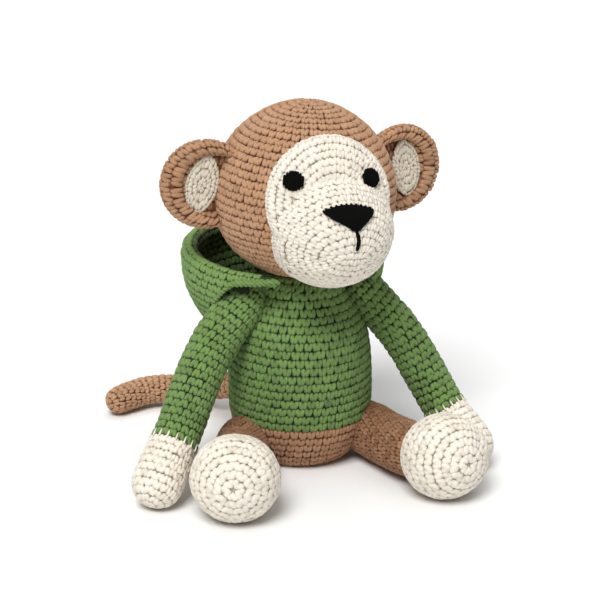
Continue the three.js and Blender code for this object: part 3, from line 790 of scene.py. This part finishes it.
def make_nose_and_mouth():
    """A fan of strands from a toothed upper edge down to the tip, and the mouth's one strand below it."""
    forward = np.array(head_place.to_3x3()) @ -back
    steps = np.linspace(0, 1, 12)
    tip_x, tip_z = nose_tip
    fan, under = [], []
    for order, share in enumerate(np.linspace(-1, 1, nose_threads)):
        top_x = nose_across + nose_half * share
        top_z = nose_top + nose_arch * (1 - share ** 2) + nose_tooth * (order % 2)
        foot_x = tip_x + nose_gather * nose_half * share
        side = (foot_x - tip_x) / (nose_across + math.copysign(nose_half, share) - tip_x)
        swell = nose_swell * (share > 0)
        foot_z = tip_z + (nose_top - tip_z) * side - swell * 4 * side * (1 - side)
        fan.append(on_face(top_x + (foot_x - top_x) * steps, top_z + (foot_z - top_z) * steps,
                           nose_lift + nose_bulge * np.sin(steps * math.pi)))
    for share in pad_rows:
        wide = nose_half * (1 - share) * pad_wide
        middle = nose_across + (tip_x - nose_across) * share
        row = np.linspace(middle - wide, middle + wide, 12)
        under.append(on_face(row, nose_top + (tip_z - nose_top) * share, pad_lift))
    fall = np.linspace(0, 1, 14)
    line = on_face(tip_x + mouth_bow * np.sin(fall * math.pi),
                   tip_z + mouth_tuck - mouth_length * fall, mouth_lift)
    nose = crocheted("nose", None, [strands(fan, seed=10, radius=1.05, outward=forward),
                                    strands(under, seed=11, radius=1.3, outward=forward)],
                     "black_yarn", ["nose"])
    mouth = crocheted("mouth_stitch", None, [strands([line], seed=12, radius=1.05, outward=forward)],
                      "black_yarn", ["mouth_stitch"])
    for piece in (nose, mouth):
        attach(piece, "head")


def make_ear(name, side):
    """A round with a thick rolled rim and an off-centre cup, and the leaf-shaped lining in the cup."""
    half = (ear_radius - ear_cup) / 2
    roll = [(ear_cup + half * (1 + math.cos(a)), ear_thick * math.sin(a))
            for a in np.radians((-70, -35, 0, 35, 70, 110, 150))]
    rim = [(0, -ear_floor), (ear_cup, -ear_floor), *roll, (ear_cup, cup_floor), (0, cup_floor)]
    pad, top = ear_cup - lining_gap, lining_foot + lining_rise
    cushion = [(0, lining_foot), (pad, lining_foot), (pad - lining_rise / 4, lining_foot + lining_rise / 2),
               (pad - lining_rise, top), (0, top)]
    spot = (ear_shift + side * ear_across, ear_back, ear_height + side * ear_uneven)
    place = (head_place @ Matrix.Translation(spot) @ rotation(side * ear_flare, "Z")
             @ Matrix.Rotation(math.pi / 2, 4, "X"))
    home = place.inverted()
    leaning = Matrix.Translation((side * lining_out, 0, 0)) @ rotation(side * lining_lean, "Z")
    upright_leaf = leaning.inverted()

    places = turned(upright, through(rim))
    reach = np.hypot(places[..., 0], places[..., 1])
    places[..., 0] -= side * ear_cup_shift * np.clip((ear_radius - reach) / (ear_radius - ear_cup), 0, 1)
    rounds = Rounds(placed(places, place), place.translation)
    leaf = turned(upright, through(cushion))
    leaf[..., 0] *= lining_half / pad * (1 - (leaf[..., 1] / (pad + lining_tip)) ** 2) ** lining_round
    leaf[..., 1] *= lining_reach / pad
    inner = Rounds(placed(placed(leaf, leaning), place), place.translation)

    def shown(points, spoke, distance):
        own = placed(placed(points, home), upright_leaf)
        half_leaf = lining_half * (1 - (own[:, 1] / lining_reach) ** 2)
        covered = (own[:, 2] > 0) & (np.abs(own[:, 0]) < half_leaf - lining_lap)
        return (off_head(points) > -ear_sewn_in) & ~covered
    # painted shade: the ear's stitches are made a little darker, and the lining's much darker for the shade
    # in the cup
    ear = crocheted("ear_" + name, core(rounds, sides=40, rings=36, sink=1.4, shade=0.2),
                    [worked(rounds, seed=13 + side, keep=shown, wide=5.2, high=4.6, thick=1.2, painted_shading=0.84)],
                    "brown_yarn", ["ear_" + name])
    lining = crocheted("ear_lining_" + name, core(inner, sides=32, rings=20, sink=1.2, shade=0.4),
                       [worked(inner, seed=16 + side, start=0.5 * inner.length(),
                               keep=clear_of(off_head, ear_sewn_in), wide=4.2, high=4.0, thick=0.8,
                               plump=(1.15, 1.03), painted_shading=0.6)],
                       "cream_yarn", ["ear_lining_" + name])
    for piece in (ear, lining):
        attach(piece, "head")


def round_end(radius, pole, direction):
    """The outline of a tube's round end, from its pole."""
    return [(radius * math.sin(a), pole + direction * radius * (1 - math.cos(a)))
            for a in np.radians((0, 25, 50, 72))]


def tube(path, radius):
    """The outline of a stuffed tube with two round ends."""
    length = distances(path)[-1]
    return through([*round_end(radius, 0, 1), (radius, length / 2), *round_end(radius, length, -1)[::-1]])


def make_arm(name):
    """A sleeve and its hand, one tube in two colours, with spikes of cream yarn where they change."""
    path = through(arm_paths[name], 40)
    length = distances(path)[-1]
    wrist, thick = length - hand_length, sleeve_radius[name]
    outline = through([*round_end(shoulder_radius, 0, 1), *((thick, wrist * k / 4) for k in (1, 2, 3, 4)),
                       (palm_radius, length - hand_length / 2), *round_end(palm_radius, length, -1)[::-1]])
    rounds = Rounds(turned(path, outline), path[len(path) // 2])
    cuff = grain * np.argmax(evenly(outline)[:, 1] > wrist)
    count = round(full_turn * thick / stitch_wide)
    spoke = (np.arange(count) + spike_turn) * spokes / count
    reach = cuff + np.linspace(spike_foot, spike_tip, 6)
    spikes = rounds.at(spoke[:, None], reach, spike_lift)
    outward = unit(rounds.at(spoke, reach[0], 1) - rounds.at(spoke, reach[0], 0))
    sleeve = crocheted("sleeve_" + name, core(rounds.part(0, cuff), sides=28, rings=44, sink=1.4),
                       [worked(rounds, seed=17, end=cuff, keep=clear_of(off_torso, limb_sewn_in),
                               thick=0.85)],
                       "green_yarn", ["sleeve_" + name, "arm_stuffing_" + name])
    palm = core(rounds.part(cuff, rounds.length()), sides=28, rings=28, sink=1.2, shade=0.3)
    hand = crocheted("hand_" + name, palm,
                     [worked(rounds, seed=18, start=cuff, thick=0.7, plump=(1.2, 1.03)),
                      strands(spikes, seed=24, radius=0.75, outward=outward, taper=0.7)],
                     "cream_yarn", ["hand_" + name])
    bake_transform(sleeve)
    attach(hand, "arm_" + name)


def make_leg(name):
    """A leg that lies out to the front, and its round foot, worked from the heel to the sole."""
    path = through(leg_paths[name], 40)
    side = math.copysign(1, path[0][0])
    rounds = Rounds(turned(path, tube(path, leg_radius), up), path[len(path) // 2])
    splay, tilt = math.radians(foot_splay), math.radians(foot_tilt)
    sole = unit(np.array((side * math.sin(splay), -math.cos(splay), math.tan(tilt))))
    middle = np.array((foot_across[name], -foot_forward, foot_radius - foot_press))
    heel = middle - sole * foot_length / 2
    angles = np.linspace(0, math.pi, 41)
    ball = np.stack([foot_radius * np.sin(angles), foot_length / 2 * (1 - np.cos(angles))], axis=1)
    ball[[0, -1], 0] = 0
    places = turned([heel, heel + sole * foot_length], ball, up)
    places[..., 2] *= foot_squash
    foot_rounds = Rounds(places, middle)
    bare = path[:-30]  # without its end in the foot

    def leg_shown(points, spoke, distance):
        return (off_torso(points) > -limb_sewn_in) & (np.linalg.norm(points - middle, axis=1) > foot_hides)

    def foot_shown(points, spoke, distance):
        return off_line(points, bare) > ankle
    # painted shade: the leg's stitches are made much darker, for the shade under the body and arms
    leg = crocheted("leg_" + name, core(rounds, sides=28, rings=32, sink=1.4),
                    [worked(rounds, seed=19, keep=leg_shown, wide=4.1, high=4.0, thick=0.85, painted_shading=0.4)],
                    "brown_yarn", ["leg_" + name, "leg_stuffing_" + name])
    foot = crocheted("foot_" + name, core(foot_rounds, sides=48, rings=30, sink=1.2, shade=0.3),
                     [worked(foot_rounds, seed=20, end=foot_rounds.length() - sole_close, keep=foot_shown,
                             wide=5.4, high=4.7, thick=0.65, plump=(1.25, 1.0))],
                     "cream_yarn", ["foot_" + name])
    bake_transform(leg)
    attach(foot, "leg_" + name)


def make_tail():
    """A thin tube that comes down from the back and curls round on the table."""
    path = through(tail_path, 40)
    rounds = Rounds(turned(path, tube(path, tail_radius), up), path[len(path) // 2])
    tail = crocheted("tail", core(rounds, sides=24, rings=60, sink=1.3),
                     [worked(rounds, seed=21, keep=clear_of(off_torso, tail_sewn_in), wide=3.9, high=3.8,
                             thick=0.9)],
                     "brown_yarn", ["tail", "tail_stuffing"])
    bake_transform(tail)


def make_hood():
    """An open pouch with a rolled rim: a bowl, cut free of the head, the torso and the sleeves."""
    places = turned(upright, through(hood_outline))
    places[..., 1] *= hood_squeeze
    rounds = Rounds(placed(places, hood_turn), hood_place)
    arms = [(through(arm_paths[name], 12), sleeve_radius[name]) for name in arm_paths]
    hem_y, hem_z = np.array(hood_hem).T

    def over_hem(points):
        return points[..., 2] - np.interp(points[..., 1], hem_y, hem_z)

    def bearing(points):
        """Degrees round the hood from its front."""
        return np.degrees(np.arctan2(points[..., 0] - hood_place[0], hood_place[1] - points[..., 1]))

    def free(points, overlap):
        """Which places the hood keeps, when it may lie this far over its neighbours."""
        clear = off_head(points, fabric) > hood_head_room
        clear &= (off_torso(points) > hood_room - overlap) & (over_hem(points) > -overlap)
        clear &= (bearing(points) < overlap - hood_gap[-1]) | (bearing(points) > hood_gap[1] - overlap)
        for arm, thick in arms:
            clear &= off_line(points, arm) > thick + hood_room - overlap
        return clear
    cloth = core(rounds, sides=144, rings=96, sink=1.2, name="hood_cloth")
    bpy.ops.object.mode_set(mode="EDIT")
    bpy.ops.mesh.select_all(action="DESELECT")
    bpy.ops.object.mode_set(mode="OBJECT")
    centres = np.array([face.center for face in cloth.data.polygons]) / MM
    cloth.data.polygons.foreach_set("select", ~free(centres, 0))
    bpy.ops.object.mode_set(mode="EDIT")
    bpy.ops.mesh.select_mode(type="FACE")
    bpy.ops.mesh.delete(type="FACE")
    bpy.ops.object.mode_set(mode="OBJECT")

    outside = rounds.places[:, :round(0.5 * rounds.steps)]
    below = over_hem(outside) <= 0
    hem = np.array([spoke[under][-1] for spoke, under in zip(outside, below) if under.any()])
    loops = []
    for side in (-1, 1):
        around = side * bearing(hem)
        line = hem[(around > hood_gap[side]) & (around < edging_end)]
        line = evenly(line[np.argsort(side * bearing(line))], edging_step)
        for before, after in zip(line, line[2:]):
            loop = [before - edging_half * up, (before + after) / 2, after + edging_half * up]
            loops.append(np.array(loop))
    outward = unit(np.array([(loop[1] - np.array(hood_place)) * (1, 1, 0) for loop in loops]))
    edging = [loop + edging_lift * out for loop, out in zip(loops, outward) if free(loop[1] + 2 * out, 2)]

    kept = dict(keep=lambda points, spoke, distance: free(points, hood_lap), thick=0.85)
    rim = 0.5 * rounds.length() + hood_rim
    # painted light on the hood's outside, painted shade on its inside
    laid = lay("hood_stitches", [worked(rounds, seed=22, end=rim, painted_shading=1.3, **kept),
                                 worked(rounds, seed=23, start=rim, painted_shading=0.5, **kept),
                                 strands(edging, seed=25, radius=1.15, outward=(0, -0.6, 0.8))])
    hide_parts("hood")
    for piece in (cloth, laid):
        piece.data.materials.append(yarns["green_yarn"])
        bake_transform(piece)


def make_floor():
    """White paper, wide enough for a low view."""
    bpy.ops.object.select_all(action="DESELECT")
    bpy.ops.mesh.primitive_plane_add(size=floor_size, location=(0, 0, 0))
    floor = bpy.context.object
    floor.name = "floor"
    paper = bpy.data.materials.new("white_paper")
    paper.use_nodes = True
    finish = paper.node_tree.nodes["Principled BSDF"].inputs
    finish["Base Color"].default_value = (paper_white, paper_white, paper_white, 1)
    finish["Roughness"].default_value = paper_rough
    floor.data.materials.append(paper)


def make_studio():
    """Weak light from all sides, with white behind the floor."""
    world = bpy.data.worlds.new("studio")
    bpy.context.scene.world = world
    world.use_nodes = True
    world.node_tree.nodes.clear()
    air = Dye(world.node_tree)
    fill_light = air.node("Background", inputs={"Color": (1, 1, 1, 1), "Strength": fill_strength})
    backdrop = air.node("Background", inputs={"Color": (1, 1, 1, 1), "Strength": backdrop_strength})
    seen = air.node("LightPath", out="Is Camera Ray")
    room = air.node("MixShader", inputs={0: seen, 1: fill_light, 2: backdrop})
    air.node("OutputWorld", inputs={0: room})
    bpy.context.scene.view_settings.view_transform = "Standard"


make_camera()
make_light("key_light", (-0.55, -0.85, 1.5), softness=28, strength=2.55)
make_light("top_light", (0.1, 0.3, 1.6), softness=60, strength=1.05)

make_torso()
make_head()
make_face()
for eye in eye_across:
    make_eye(eye)
make_nose_and_mouth()
make_ear("right", -1)
make_ear("left", 1)
for arm in arm_paths:
    make_arm(arm)
for leg in leg_paths:
    make_leg(leg)
make_tail()
make_hood()
make_floor()
make_studio()
